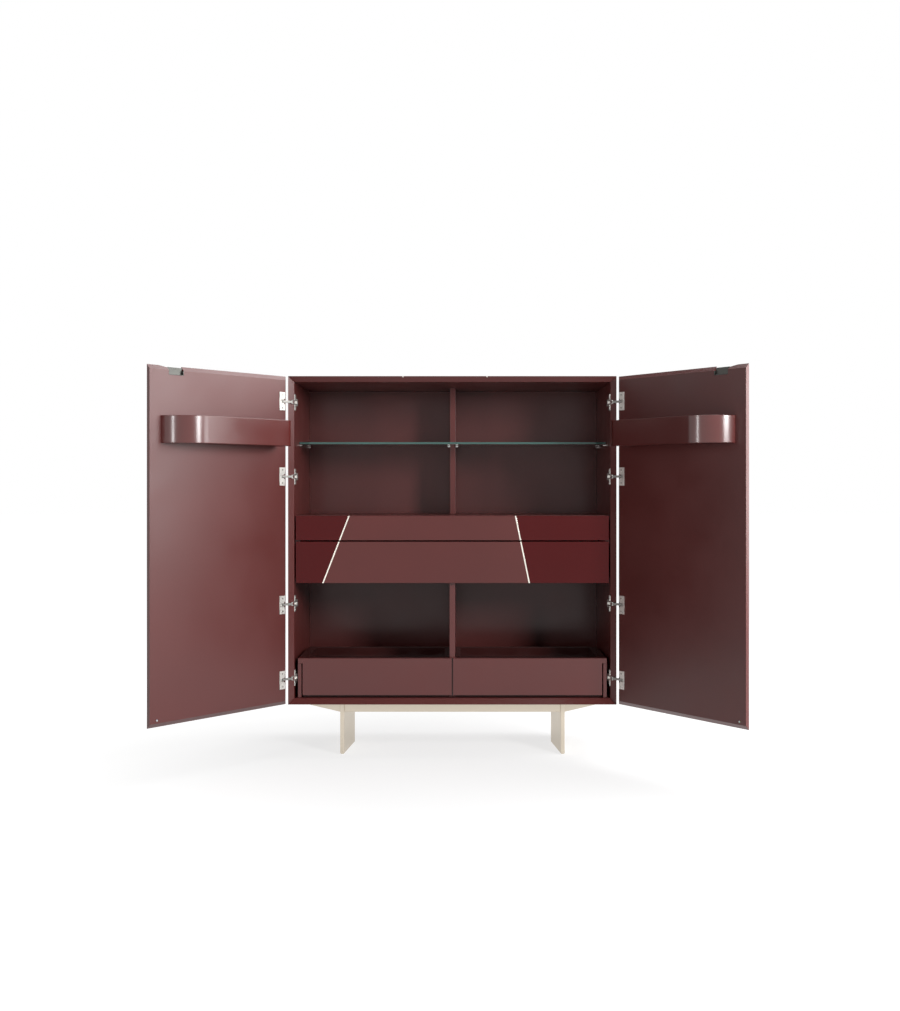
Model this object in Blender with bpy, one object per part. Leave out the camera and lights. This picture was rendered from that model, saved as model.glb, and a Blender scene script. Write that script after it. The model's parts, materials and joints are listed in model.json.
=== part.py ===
"""Wine cabinet: a mitred lacquered carcass on a metal base, with doors, door bins, drawers and a glass shelf.

Metres, +Z up, +X to the right and +Y to the back for someone who stands in front of it. The doors stand open,
and the origin is on the floor, under the middle of the open cabinet's outline. Depths count from the plane of
the closed doors' outer faces, and heights from the carcass's underside. Side pieces are modelled as with the
doors closed, and the doors' empties then swing them open.
"""

import math

import bmesh
import bpy
from mathutils import Matrix, Vector

LEFT, RIGHT = -1, 1
SIDE_NAMES = {LEFT: "left", RIGHT: "right"}

# Carcass and back
WIDTH = 1.200
CARCASS_HEIGHT = 1.200
DEPTH = 0.500
PANEL = 0.020
BACK_THICKNESS = 0.018
BACK_RECESS = 0.012
SEAT_GAP = 0.0003

# Metal base
BASE_HEIGHT = 0.200
BEAM_HEIGHT = 0.043
BEAM_THICKNESS = 0.020
BEAM_SETBACK = 0.090
BEAM_END_INSET = 0.010
BEAM_END_HEIGHT = 0.003
LEG_SETBACK = 0.084
LEG_INSET = 0.182
LEG_END_THICKNESS = 0.015
LEG_RIDGE_THICKNESS = 0.036
LEG_RIDGE_FROM_REAR = 0.122
LEG_FOOT_ROUND = 0.005

# Doors
DOOR_THICKNESS = 0.015
REVEAL = 0.0015
MEETING_GAP = 0.003
OPENING = {LEFT: math.radians(130.65), RIGHT: math.radians(127.4)}
AXIS_OUTSET = 0.0033
AXIS_DEPTH = 0.0034

# Finger pull in the top edge of each door
PULL_FROM_FREE_EDGE = 0.076
PULL_LENGTH = 0.095
PULL_HEIGHT = 0.026
PULL_RUN_IN = 0.031
PULL_DIP = 0.006
PULL_SKIN = 0.004
PULL_SHEET = 0.002

# Curved bin on each door
BIN_HEIGHT = 0.100
BIN_FOOT_BELOW_TOP = 0.269
BIN_FROM_HINGE = 0.060
BIN_FROM_FREE_EDGE = 0.042
BIN_PROTRUSION = 0.100
BIN_CORNER_RADIUS = 0.028
BIN_WALL = 0.012
BIN_BACK = 0.008
BIN_FLOOR = 0.010

# Concealed hinges
HINGE_FROM_END = 0.094
HINGE_SPACING = 0.273
PIN_INSET = 0.0137
PIN_DEPTH = 0.0082
PIN_RADIUS = 0.0015
PIN_CLEARANCE = 0.0003
KNUCKLE_RADIUS = 0.0035
LINK_HALF_HEIGHT = 0.0040
LINK_THICKNESS = 0.0040
EAR_THICKNESS = 0.0014
WING_LENGTH = 0.058
WING_THICKNESS = 0.002
WING_FRONT = 0.021
WING_BACK = 0.055
ARM_WIDTH = 0.0084
ARM_HALF_HEIGHT = 0.0125
ARM_FRONT = 0.033
NOSE_CLEARANCE = 0.0006
NOSE_NOTCH_DEPTH = 0.0045
NOSE_NOTCH_LENGTH = 0.0045
CUP_START = 0.0175
CUP_LENGTH = 0.0245
CUP_SKIN = 0.004
CUP_FLOOR = 0.001
CUP_HALF_HEIGHT = 0.009
CUP_END_WALL = 0.0025
CHANNEL_HALF_HEIGHT = 0.006
FLANGE_HEIGHT = 0.066
FLANGE_WIDTH = 0.0255
FLANGE_THICKNESS = 0.0015
FLANGE_PAD_HEIGHT = 0.019
FLANGE_PAD_RISE = 0.001
LINK_SEAT_FROM_EDGE = 0.021

# Dividers, decks and glass shelf
DIVIDER = 0.021
UPPER_DIVIDER_FRONT = 0.290
DECK = 0.020
DECK_FRONT = 0.044
LOWER_BAY_TOP = 0.443
UPPER_BAY_FLOOR = 0.690
GLASS_THICKNESS = 0.008
GLASS_LEVEL = 0.956
GLASS_FRONT = 0.137
GLASS_SIDE_GAP = 0.003
GLASS_BACK_GAP = 0.004
GLASS_SLOT_GAP = 0.001
SHELF_PIN_RADIUS = 0.003
SHELF_PIN_SUNK = 0.008
SHELF_PIN_PROUD = 0.010
SHELF_PIN_FROM_EDGE = 0.025
SHELF_PIN_CLEARANCE = 0.0003

# Middle drawers
FRONT_THICKNESS = 0.020
FRONT_SETBACK = 0.022
FRONT_SIDE_GAP = 0.005
FRONT_TOP_DROP = 0.001
UPPER_FRONT_HEIGHT = 0.090
LOWER_FRONT_HEIGHT = 0.152
FRONT_SPACING = 0.005
BOX_WALL = 0.014
BOX_FLOOR = 0.008
BOX_SIDE_GAP = 0.006
BOX_BACK_GAP = 0.030
BOX_TOP_GAP = 0.006
RUNNER_WIDTH = 0.018
RUNNER_HEIGHT = 0.016
RUNNER_BELOW_FRONT = 0.003
RUNNING_GAP = 0.0005

# Bottle drawers
BOTTLE_FRONT_THICKNESS = 0.018
BOTTLE_FRONT_SETBACK = 0.028
BOTTLE_FRONT_FOOT = 0.029
BOTTLE_FRONT_TOP = 0.165
BOTTLE_FRONT_GAP = 0.004
BOTTLE_SIDE_INSET = 0.029
BOTTLE_EAR_HEIGHT = 0.019
BOTTLE_EAR_REACH = 0.017
BOTTLE_WALL = 0.019
BOTTLE_BOX_FLOOR = 0.010
BOTTLE_BOX_BACK_GAP = 0.115
BOTTLE_DIVIDER_GAP = 0.0015
RAIL_GAP = 0.004
RAIL_THICKNESS = 0.013
RAIL_SETBACK = 0.030
TRAY_TOP = 0.130
TRAY_THICKNESS = 0.016
TRAY_LEDGE = 0.008
BOTTLE_HOLE_DIAMETER = 0.090
BOTTLE_PITCH = 0.125
BOTTLE_HOLE_EDGE = 0.009

# Slanted inlay lines over the drawer fronts and the doors
INLAY_WIDTH = 0.005
INLAY_DEPTH = 0.0008
TOP_INLAY_DEPTH = 0.004
INLAY_LEVEL = 0.689
INLAYS = {LEFT: (-0.379, 0.3887), RIGHT: (0.232, -0.2053)}

# Facets of round forms
PIN_SEGMENTS = 12
KNUCKLE_STEPS = 10
HOLE_SEGMENTS = 20
CORNER_STEPS = 6
END_STEPS = 10

# Places that follow from the sizes above
HALF_WIDTH = WIDTH / 2
INNER_HALF_WIDTH = HALF_WIDTH - PANEL
BACK_FACE = DEPTH - BACK_RECESS - BACK_THICKNESS
BOX_BACK_DEPTH = BACK_FACE - BOX_BACK_GAP
BOTTLE_BOX_BACK = BACK_FACE - BOTTLE_BOX_BACK_GAP
DOOR_HINGE_EDGE = HALF_WIDTH - REVEAL
DOOR_FREE_EDGE = MEETING_GAP / 2
BIN_LEVEL = CARCASS_HEIGHT - BIN_FOOT_BELOW_TOP
UPPER_FRONT_TOP = UPPER_BAY_FLOOR - FRONT_TOP_DROP
UPPER_FRONT_FOOT = UPPER_FRONT_TOP - UPPER_FRONT_HEIGHT
LOWER_FRONT_TOP = UPPER_FRONT_FOOT - FRONT_SPACING
LOWER_FRONT_FOOT = LOWER_FRONT_TOP - LOWER_FRONT_HEIGHT
RUNNER_TOP = UPPER_FRONT_FOOT + RUNNER_BELOW_FRONT
LOWER_DIVIDER_FRONT = BOTTLE_FRONT_SETBACK + BOTTLE_FRONT_THICKNESS + 2 * BOTTLE_DIVIDER_GAP
EAR_UNDERSIDE = BOTTLE_FRONT_TOP - BOTTLE_EAR_HEIGHT
SHELF_PIN_LEVEL = GLASS_LEVEL - SEAT_GAP - SHELF_PIN_RADIUS
SHELF_PIN_DEPTHS = {"front": GLASS_FRONT + SHELF_PIN_FROM_EDGE, "rear": BACK_FACE - 2 * SHELF_PIN_FROM_EDGE}
EAR_OUTER = LINK_HALF_HEIGHT + PIN_CLEARANCE + EAR_THICKNESS
HINGE_LEVELS = (
    HINGE_FROM_END,
    HINGE_FROM_END + HINGE_SPACING,
    CARCASS_HEIGHT - HINGE_FROM_END - HINGE_SPACING,
    CARCASS_HEIGHT - HINGE_FROM_END,
)


def level(height):
    """Height above the floor of a height above the carcass's underside."""
    return BASE_HEIGHT + height


# Scene, finishes and shapes


def clear_scene():
    for obj in list(bpy.data.objects):
        bpy.data.objects.remove(obj, do_unlink=True)


def new_collection(name):
    collection = bpy.data.collections.new(name)
    bpy.context.scene.collection.children.link(collection)
    return collection


def new_finish(name, colour, roughness, metallic=0.0, transmission=0.0):
    finish = bpy.data.materials.new(name)
    finish.use_nodes = True
    shader = finish.node_tree.nodes["Principled BSDF"]
    shader.inputs["Base Color"].default_value = (*colour, 1.0)
    shader.inputs["Roughness"].default_value = roughness
    shader.inputs["Metallic"].default_value = metallic
    shader.inputs["Transmission Weight"].default_value = transmission
    return finish


clear_scene()
PARTS = new_collection("wine_cabinet")
CUTTERS = new_collection("cutters")
LACQUER = new_finish("wine_lacquer", (0.070, 0.025, 0.026), 0.42)
GLOSS_LACQUER = new_finish("wine_gloss_lacquer", (0.075, 0.018, 0.020), 0.20)
DARK_INTERIOR = new_finish("dark_interior_lacquer", (0.040, 0.018, 0.018), 0.50)
CHAMPAGNE_METAL = new_finish("champagne_metal", (0.62, 0.54, 0.43), 0.35, metallic=1.0)
CHROME = new_finish("hinge_chrome", (0.72, 0.70, 0.67), 0.22, metallic=1.0)
PULL_METAL = new_finish("pull_metal", (0.42, 0.42, 0.40), 0.32, metallic=1.0)
CLEAR_GLASS = new_finish("clear_glass", (0.80, 0.93, 0.89), 0.02, transmission=1.0)


def box(low, high):
    """A box between two corners, whose numbers may come in any order."""
    corners = [sorted(pair) for pair in zip(low, high)]
    mesh = bpy.data.meshes.new("box")
    bm = bmesh.new()
    bmesh.ops.create_cube(bm, size=1.0)
    for vert in bm.verts:
        vert.co = Vector(ends[part > 0] for ends, part in zip(corners, vert.co))
    bm.to_mesh(mesh)
    bm.free()
    return mesh


def tapered_box(axis, start, end):
    """A box whose two faces across axis differ: each face is its place on axis and its two corners."""
    mesh = bpy.data.meshes.new("tapered_box")
    bm = bmesh.new()
    bmesh.ops.create_cube(bm, size=1.0)
    for vert in bm.verts:
        place, low, high = end if vert.co[axis] > 0 else start
        corner = [high[i] if vert.co[i] > 0 else low[i] for i in range(3)]
        corner[axis] = place
        vert.co = Vector(corner)
    bm.to_mesh(mesh)
    bm.free()
    return mesh


def round_bar(start, end, radius):
    start, end = Vector(start), Vector(end)
    turn = (end - start).to_track_quat("Z", "Y").to_matrix().to_4x4()
    mesh = bpy.data.meshes.new("round_bar")
    bm = bmesh.new()
    bmesh.ops.create_cone(
        bm,
        cap_ends=True,
        segments=PIN_SEGMENTS,
        radius1=radius,
        radius2=radius,
        depth=(end - start).length,
        matrix=Matrix.Translation((start + end) / 2) @ turn,
    )
    bm.to_mesh(mesh)
    bm.free()
    return mesh


def arc(centre, radius, start_degrees, end_degrees, steps):
    """Points along an arc, both ends included."""
    points = []
    for i in range(steps + 1):
        angle = math.radians(start_degrees + (end_degrees - start_degrees) * i / steps)
        points.append((centre[0] + radius * math.cos(angle), centre[1] + radius * math.sin(angle)))
    return points


def outline(loops, low, high, upright=False):
    """Flat loops in X and Y extruded in Z from low to high, or, upright, in X and Z extruded in Y."""
    curve = bpy.data.curves.new("outline", "CURVE")
    curve.dimensions = "2D"
    curve.fill_mode = "BOTH"
    curve.extrude = abs(high - low) / 2
    for loop in loops:
        spline = curve.splines.new("POLY")
        spline.points.add(len(loop) - 1)
        spline.use_cyclic_u = True
        for point, (across, along) in zip(spline.points, loop):
            point.co = (across, along, 0.0, 1.0)
    guide = bpy.data.objects.new("outline", curve)
    CUTTERS.objects.link(guide)
    mesh = bpy.data.meshes.new_from_object(guide.evaluated_get(bpy.context.evaluated_depsgraph_get()))
    bpy.data.objects.remove(guide)
    bm = bmesh.new()
    bm.from_mesh(mesh)
    bmesh.ops.remove_doubles(bm, verts=bm.verts, dist=1e-6)
    for vert in bm.verts:
        across, along, through = vert.co
        through += (low + high) / 2
        vert.co = (across, through, along) if upright else (across, along, through)
    bmesh.ops.recalc_face_normals(bm, faces=bm.faces)
    if bm.calc_volume(signed=True) < 0:
        bmesh.ops.reverse_faces(bm, faces=bm.faces)
    bm.to_mesh(mesh)
    bm.free()
    return mesh


def combine(mesh, operation, others):
    """The mesh after a Boolean with each of the others, worked out on scratch objects."""
    target = bpy.data.objects.new("target", mesh)
    scratch = [target]
    CUTTERS.objects.link(target)
    for other in others:
        tool = bpy.data.objects.new("tool", other)
        CUTTERS.objects.link(tool)
        scratch.append(tool)
        modifier = target.modifiers.new(operation, "BOOLEAN")
        modifier.operation = operation
        modifier.object = tool
    result = bpy.data.meshes.new_from_object(target.evaluated_get(bpy.context.evaluated_depsgraph_get()))
    for obj in scratch:
        bpy.data.objects.remove(obj)
    return result


def cut(mesh, *tools):
    return combine(mesh, "DIFFERENCE", tools)


def join(mesh, *others):
    return combine(mesh, "UNION", others)


def new_carrier(name, home, parent=None, turn=0.0):
    """An empty at a place of the closed cabinet; the pieces on it are modelled where that cabinet has them."""
    carrier = bpy.data.objects.new(name, None)
    PARTS.objects.link(carrier)
    carrier.parent = parent
    carrier.location = home
    carrier.rotation_euler.z = turn
    carrier["home"] = tuple(home)
    return carrier


def add_part(name, mesh, finish, carrier, smooth=False):
    part = bpy.data.objects.new(name, mesh)
    PARTS.objects.link(part)
    part.parent = carrier
    if carrier is not CABINET:
        part.location = -Vector(carrier["home"])
    mesh.materials.clear()
    mesh.materials.append(finish)
    if smooth:
        mesh.shade_smooth()
        mesh.set_sharp_from_angle(angle=math.radians(35))
    return part


# Frame: the open doors' reach sets where the origin lies


def door_axis(side):
    return Vector((side * (HALF_WIDTH + AXIS_OUTSET), AXIS_DEPTH, 0.0))


def swung_open(side, point):
    """Where a point of a closed door is when that door is open."""
    turn = Matrix.Rotation(side * OPENING[side], 3, "Z")
    return door_axis(side) + turn @ (Vector(point) - door_axis(side))


def middle_of_open_outline():
    corners = [
        swung_open(side, (side * DOOR_FREE_EDGE, depth, 0.0))
        for side in (LEFT, RIGHT)
        for depth in (0.0, DOOR_THICKNESS)
    ]
    across = [corner.x for corner in corners]
    front = min(corner.y for corner in corners)
    return Vector(((min(across) + max(across)) / 2, (front + DEPTH) / 2, 0.0))


CABINET = new_carrier("cabinet_frame", -middle_of_open_outline())
DOOR_SWINGS = {
    side: new_carrier(f"{SIDE_NAMES[side]}_door_axis", door_axis(side), CABINET, side * OPENING[side])
    for side in (LEFT, RIGHT)
}


# Inlay grooves


def inlay_across(side, height):
    """Where the middle of a slanted line is at a height."""
    start, slope = INLAYS[side]
    return start + slope * (height - INLAY_LEVEL)


def inlay_groove(side, low, high, face):
    """A cutter for one slanted groove in a front face at depth face, between two heights."""
    half = INLAY_WIDTH / 2
    loop = [
        (inlay_across(side, low) - half, level(low)),
        (inlay_across(side, low) + half, level(low)),
        (inlay_across(side, high) + half, level(high)),
        (inlay_across(side, high) - half, level(high)),
    ]
    return outline([loop], face - INLAY_DEPTH, face + INLAY_DEPTH, upright=True)


def top_groove(side):
    """A cutter for the groove that carries a slanted line on over the top panel, straight back."""
    middle = inlay_across(side, CARCASS_HEIGHT)
    return box(
        (middle - INLAY_WIDTH / 2, -PANEL, level(CARCASS_HEIGHT - TOP_INLAY_DEPTH)),
        (middle + INLAY_WIDTH / 2, DEPTH + PANEL, level(CARCASS_HEIGHT + TOP_INLAY_DEPTH)),
    )


# Carcass


def add_flat_panels():
    top_grooves = [top_groove(side) for side in (LEFT, RIGHT)]
    for name, outer, inner, grooves in (
        ("bottom_panel", level(0.0), level(PANEL), []),
        ("top_panel", level(CARCASS_HEIGHT), level(CARCASS_HEIGHT - PANEL), top_grooves),
    ):
        outer_face = (outer, (-HALF_WIDTH, 0.0, 0.0), (HALF_WIDTH, DEPTH, 0.0))
        inner_face = (inner, (-INNER_HALF_WIDTH, PANEL, 0.0), (INNER_HALF_WIDTH, DEPTH, 0.0))
        faces = sorted((outer_face, inner_face))
        add_part(name, cut(tapered_box(2, *faces), *grooves), LACQUER, CABINET)


def shelf_pin_bar(face, outwards, depth, clearance=0.0):
    """A peg across a panel's face: outwards is the way out of the panel along X."""
    start = (face - outwards * (SHELF_PIN_SUNK + clearance), depth, level(SHELF_PIN_LEVEL))
    end = (face + outwards * SHELF_PIN_PROUD, depth, level(SHELF_PIN_LEVEL))
    return round_bar(start, end, SHELF_PIN_RADIUS + clearance)


def add_side_panel(side):
    low, high = level(SEAT_GAP), level(CARCASS_HEIGHT - SEAT_GAP)
    outer_face = (side * HALF_WIDTH, (0.0, 0.0, low), (0.0, DEPTH, high))
    inner_face = (side * INNER_HALF_WIDTH, (0.0, PANEL, low + PANEL), (0.0, DEPTH, high - PANEL))
    panel = tapered_box(0, *sorted((outer_face, inner_face)))
    runner = box(
        (side * (INNER_HALF_WIDTH + PANEL / 2), DECK_FRONT, level(RUNNER_TOP - RUNNER_HEIGHT)),
        (side * (INNER_HALF_WIDTH - RUNNER_WIDTH), BOX_BACK_DEPTH, level(RUNNER_TOP)),
    )
    holes = [
        shelf_pin_bar(side * INNER_HALF_WIDTH, -side, depth, SHELF_PIN_CLEARANCE)
        for depth in SHELF_PIN_DEPTHS.values()
    ]
    name = SIDE_NAMES[side] + "_side_panel"
    add_part(name, cut(join(panel, runner), *holes), LACQUER, CABINET)


def add_back_panel():
    half = INNER_HALF_WIDTH - SEAT_GAP
    low = (-half, BACK_FACE, level(PANEL + SEAT_GAP))
    high = (half, BACK_FACE + BACK_THICKNESS, level(CARCASS_HEIGHT - PANEL - SEAT_GAP))
    add_part("back_panel", box(low, high), DARK_INTERIOR, CABINET)


# Metal base


def leg_mesh(side):
    outer = HALF_WIDTH - LEG_INSET
    loop = [
        (side * outer, LEG_SETBACK),
        (side * outer, DEPTH - LEG_SETBACK),
        (side * (outer - LEG_END_THICKNESS), DEPTH - LEG_SETBACK),
        (side * (outer - LEG_RIDGE_THICKNESS), DEPTH - LEG_SETBACK - LEG_RIDGE_FROM_REAR),
        (side * (outer - LEG_END_THICKNESS), LEG_SETBACK),
    ]
    mesh = outline([loop], 0.0, BASE_HEIGHT - SEAT_GAP)
    bm = bmesh.new()
    bm.from_mesh(mesh)
    bmesh.ops.dissolve_limit(bm, angle_limit=math.radians(1), verts=bm.verts, edges=bm.edges)
    foot = [edge for edge in bm.edges if max(vert.co.z for vert in edge.verts) < SEAT_GAP]
    bmesh.ops.bevel(bm, geom=foot, offset=LEG_FOOT_ROUND, segments=2, profile=0.5, affect="EDGES")
    bm.to_mesh(mesh)
    bm.free()
    return mesh


def beam_mesh(front):
    top = BASE_HEIGHT - SEAT_GAP
    flat = HALF_WIDTH - LEG_INSET
    tip = HALF_WIDTH - BEAM_END_INSET
    loop = [
        (-tip, top),
        (tip, top),
        (tip, top - BEAM_END_HEIGHT),
        (flat, top - BEAM_HEIGHT),
        (-flat, top - BEAM_HEIGHT),
        (-tip, top - BEAM_END_HEIGHT),
    ]
    return outline([loop], front, front + BEAM_THICKNESS, upright=True)


def add_base():
    front_beam = beam_mesh(BEAM_SETBACK)
    rear_beam = beam_mesh(DEPTH - BEAM_SETBACK - BEAM_THICKNESS)
    frame = join(front_beam, leg_mesh(LEFT), leg_mesh(RIGHT), rear_beam)
    add_part("base_frame", frame, CHAMPAGNE_METAL, CABINET)


# Dividers, decks and glass shelf


def add_dividers():
    half = DIVIDER / 2
    upper = box(
        (-half, UPPER_DIVIDER_FRONT, level(UPPER_BAY_FLOOR + SEAT_GAP)),
        (half, BACK_FACE - SEAT_GAP, level(CARCASS_HEIGHT - PANEL - SEAT_GAP)),
    )
    pin_depth = UPPER_DIVIDER_FRONT + SHELF_PIN_FROM_EDGE
    holes = [shelf_pin_bar(side * half, side, pin_depth, SHELF_PIN_CLEARANCE) for side in (LEFT, RIGHT)]
    add_part("upper_divider", cut(upper, *holes), LACQUER, CABINET)
    lower = box(
        (-half, LOWER_DIVIDER_FRONT, level(PANEL + SEAT_GAP)),
        (half, BACK_FACE - SEAT_GAP, level(LOWER_BAY_TOP - SEAT_GAP)),
    )
    add_part("lower_divider", lower, LACQUER, CABINET)


def add_decks():
    half = INNER_HALF_WIDTH - SEAT_GAP
    for name, foot in (("upper_deck", UPPER_BAY_FLOOR - DECK), ("lower_deck", LOWER_BAY_TOP)):
        low = (-half, DECK_FRONT, level(foot))
        high = (half, BACK_FACE - SEAT_GAP, level(foot + DECK))
        add_part(name, box(low, high), LACQUER, CABINET)


def add_glass_shelf():
    half = INNER_HALF_WIDTH - GLASS_SIDE_GAP
    back = BACK_FACE - GLASS_BACK_GAP
    pane = box(
        (-half, GLASS_FRONT, level(GLASS_LEVEL)),
        (half, back, level(GLASS_LEVEL + GLASS_THICKNESS)),
    )
    slot_half = DIVIDER / 2 + GLASS_SLOT_GAP
    slot = box(
        (-slot_half, UPPER_DIVIDER_FRONT - GLASS_SLOT_GAP, level(GLASS_LEVEL - GLASS_THICKNESS)),
        (slot_half, back + GLASS_BACK_GAP, level(GLASS_LEVEL + 2 * GLASS_THICKNESS)),
    )
    add_part("glass_shelf", cut(pane, slot), CLEAR_GLASS, CABINET)


def add_shelf_pins():
    for side in (LEFT, RIGHT):
        for place, depth in SHELF_PIN_DEPTHS.items():
            peg = shelf_pin_bar(side * INNER_HALF_WIDTH, -side, depth)
            add_part(f"shelf_pin_{SIDE_NAMES[side]}_{place}", peg, CHROME, CABINET, smooth=True)
        peg = shelf_pin_bar(side * DIVIDER / 2, side, UPPER_DIVIDER_FRONT + SHELF_PIN_FROM_EDGE)
        add_part(f"shelf_pin_divider_{SIDE_NAMES[side]}", peg, CHROME, CABINET, smooth=True)


# Doors


def from_hinge_edge(side, distance):
    return side * (DOOR_HINGE_EDGE - distance)


def from_free_edge(side, distance):
    return side * (DOOR_FREE_EDGE + distance)


def hinge_pocket(side, height):
    """The recess of a hinge cup, open to the bevelled edge and to the inner face."""
    half = CUP_HALF_HEIGHT + SEAT_GAP
    return box(
        (from_hinge_edge(side, -REVEAL), CUP_SKIN, level(height) - half),
        (from_hinge_edge(side, CUP_START + CUP_LENGTH + SEAT_GAP), 2 * DOOR_THICKNESS, level(height) + half),
    )


def pull_notches(side):
    """The dip in the door's top outline, and the deeper recess that holds the pull."""
    top = level(CARCASS_HEIGHT - REVEAL)
    start, end = PULL_FROM_FREE_EDGE, PULL_FROM_FREE_EDGE + PULL_LENGTH
    above = top + PULL_DIP
    loop = [
        (from_free_edge(side, start - 2 * PULL_RUN_IN), above),
        (from_free_edge(side, start), top - PULL_DIP),
        (from_free_edge(side, end), top - PULL_DIP),
        (from_free_edge(side, end), above),
    ]
    dip = outline([loop], -DOOR_THICKNESS, 2 * DOOR_THICKNESS, upright=True)
    foot = top - DOOR_THICKNESS - PULL_HEIGHT
    recess = box(
        (from_free_edge(side, start), PULL_SKIN, foot),
        (from_free_edge(side, end), 2 * DOOR_THICKNESS, above),
    )
    return dip, recess


def add_door(side):
    low, high = level(REVEAL), level(CARCASS_HEIGHT - REVEAL)
    edges = sorted((side * DOOR_FREE_EDGE, side * DOOR_HINGE_EDGE))
    bevelled = sorted((side * DOOR_FREE_EDGE, from_hinge_edge(side, DOOR_THICKNESS)))
    outer_face = (0.0, (edges[0], 0.0, low), (edges[1], 0.0, high))
    inner_face = (
        DOOR_THICKNESS,
        (bevelled[0], 0.0, low + DOOR_THICKNESS),
        (bevelled[1], 0.0, high - DOOR_THICKNESS),
    )
    leaf = tapered_box(1, outer_face, inner_face)
    pockets = [hinge_pocket(side, height) for height in HINGE_LEVELS]
    groove = inlay_groove(side, -PANEL, CARCASS_HEIGHT + PANEL, 0.0)
    leaf = cut(leaf, groove, *pockets, *pull_notches(side))
    add_part(SIDE_NAMES[side] + "_door", leaf, LACQUER, DOOR_SWINGS[side])


def add_finger_pull(side):
    """A pressed metal trough, open to the top and to the door's inner side."""
    inner_top = level(CARCASS_HEIGHT - REVEAL) - DOOR_THICKNESS
    foot = inner_top - PULL_HEIGHT + SEAT_GAP
    start = PULL_FROM_FREE_EDGE + SEAT_GAP
    end = PULL_FROM_FREE_EDGE + PULL_LENGTH - SEAT_GAP
    back = PULL_SKIN + SEAT_GAP
    trough = box(
        (from_free_edge(side, start), back, foot),
        (from_free_edge(side, end), DOOR_THICKNESS, inner_top),
    )
    hollow = box(
        (from_free_edge(side, start + PULL_SHEET), back + PULL_SHEET, foot + PULL_SHEET),
        (from_free_edge(side, end - PULL_SHEET), 2 * DOOR_THICKNESS, inner_top + PULL_HEIGHT),
    )
    name = SIDE_NAMES[side] + "_finger_pull"
    add_part(name, cut(trough, hollow), PULL_METAL, DOOR_SWINGS[side])


def bin_outline(side, inset, back):
    """Plan of the bin, inset from its outer wall all round, with its back at depth back."""
    face = DOOR_THICKNESS + BIN_PROTRUSION
    near = BIN_FROM_HINGE + inset
    corner = BIN_CORNER_RADIUS - inset
    sweep = BIN_PROTRUSION - inset
    turn = DOOR_HINGE_EDGE - DOOR_FREE_EDGE - BIN_FROM_FREE_EDGE - BIN_PROTRUSION
    end_angle = math.degrees(math.asin((back - DOOR_THICKNESS) / sweep))
    points = [(near, back)]
    points += arc((near + corner, face - inset - corner), corner, 180, 90, CORNER_STEPS)
    points += arc((turn, DOOR_THICKNESS), sweep, 90, end_angle, END_STEPS)
    return [(from_hinge_edge(side, along), depth) for along, depth in points]


def add_bin(side):
    back = DOOR_THICKNESS + SEAT_GAP
    low, high = level(BIN_LEVEL), level(BIN_LEVEL + BIN_HEIGHT)
    shell = outline([bin_outline(side, 0.0, back)], low, high)
    hollow = outline([bin_outline(side, BIN_WALL, back + BIN_BACK)], low + BIN_FLOOR, high + BIN_FLOOR)
    name = SIDE_NAMES[side] + "_door_bin"
    add_part(name, cut(shell, hollow), LACQUER, DOOR_SWINGS[side], smooth=True)


# Concealed hinges: plate and pin on the carcass, link on the pin, cup in the door


def from_side_face(side, inset):
    return side * (HALF_WIDTH - inset)


def nose_half_height(depth):
    """Half the height of a hinge arm's nose, which narrows from the arm to the knuckle."""
    tip = PIN_DEPTH - KNUCKLE_RADIUS
    return EAR_OUTER + (ARM_HALF_HEIGHT - EAR_OUTER) * (depth - tip) / (ARM_FRONT - tip)


def nose_mesh(loop, across):
    """The nose over a plan: two ears, lower towards the knuckle, with the link's slot between them."""
    nose = outline([loop], SEAT_GAP - ARM_HALF_HEIGHT, ARM_HALF_HEIGHT - SEAT_GAP)
    low, high = min(across), max(across)
    inner = LINK_HALF_HEIGHT + PIN_CLEARANCE
    cutters = [box((low, -ARM_FRONT, -inner), (high, ARM_FRONT, inner))]
    for sign in (-1, 1):
        ends = []
        for depth in (-ARM_FRONT, ARM_FRONT):
            edges = sorted((sign * nose_half_height(depth), sign * 2 * ARM_HALF_HEIGHT))
            ends.append((depth, (low, 0.0, edges[0]), (high, 0.0, edges[1])))
        cutters.append(tapered_box(1, *ends))
    return cut(nose, *cutters)


def hinge_plate_mesh(side):
    """Wing plate, arm with its nose, and the link's pin, at height 0."""
    seat = PANEL + SEAT_GAP
    wing = box(
        (from_side_face(side, seat), WING_FRONT, -WING_LENGTH / 2),
        (from_side_face(side, seat + WING_THICKNESS), WING_BACK, WING_LENGTH / 2),
    )
    arm = box(
        (from_side_face(side, seat + SEAT_GAP), ARM_FRONT, -ARM_HALF_HEIGHT),
        (from_side_face(side, seat + ARM_WIDTH), WING_BACK - WING_THICKNESS, ARM_HALF_HEIGHT),
    )
    bevel_offset = PIN_INSET - PIN_DEPTH - KNUCKLE_RADIUS * math.sqrt(2)
    plan = arc((PIN_INSET, PIN_DEPTH), KNUCKLE_RADIUS, 135, 315, KNUCKLE_STEPS)
    plan += [
        (seat + ARM_WIDTH, ARM_FRONT),
        (seat + ARM_WIDTH, ARM_FRONT + WING_THICKNESS),
        (seat + SEAT_GAP, ARM_FRONT + WING_THICKNESS),
        (seat + SEAT_GAP, seat + SEAT_GAP - bevel_offset),
    ]
    loop = [(from_side_face(side, inset), depth) for inset, depth in plan]
    nose = nose_mesh(loop, (from_side_face(side, 0.0), from_side_face(side, 2 * PANEL)))
    pin_place = (from_side_face(side, PIN_INSET), PIN_DEPTH)
    pin = round_bar((*pin_place, -EAR_OUTER + SEAT_GAP), (*pin_place, EAR_OUTER - SEAT_GAP), PIN_RADIUS)
    return join(wing, arm, nose, pin)


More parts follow.
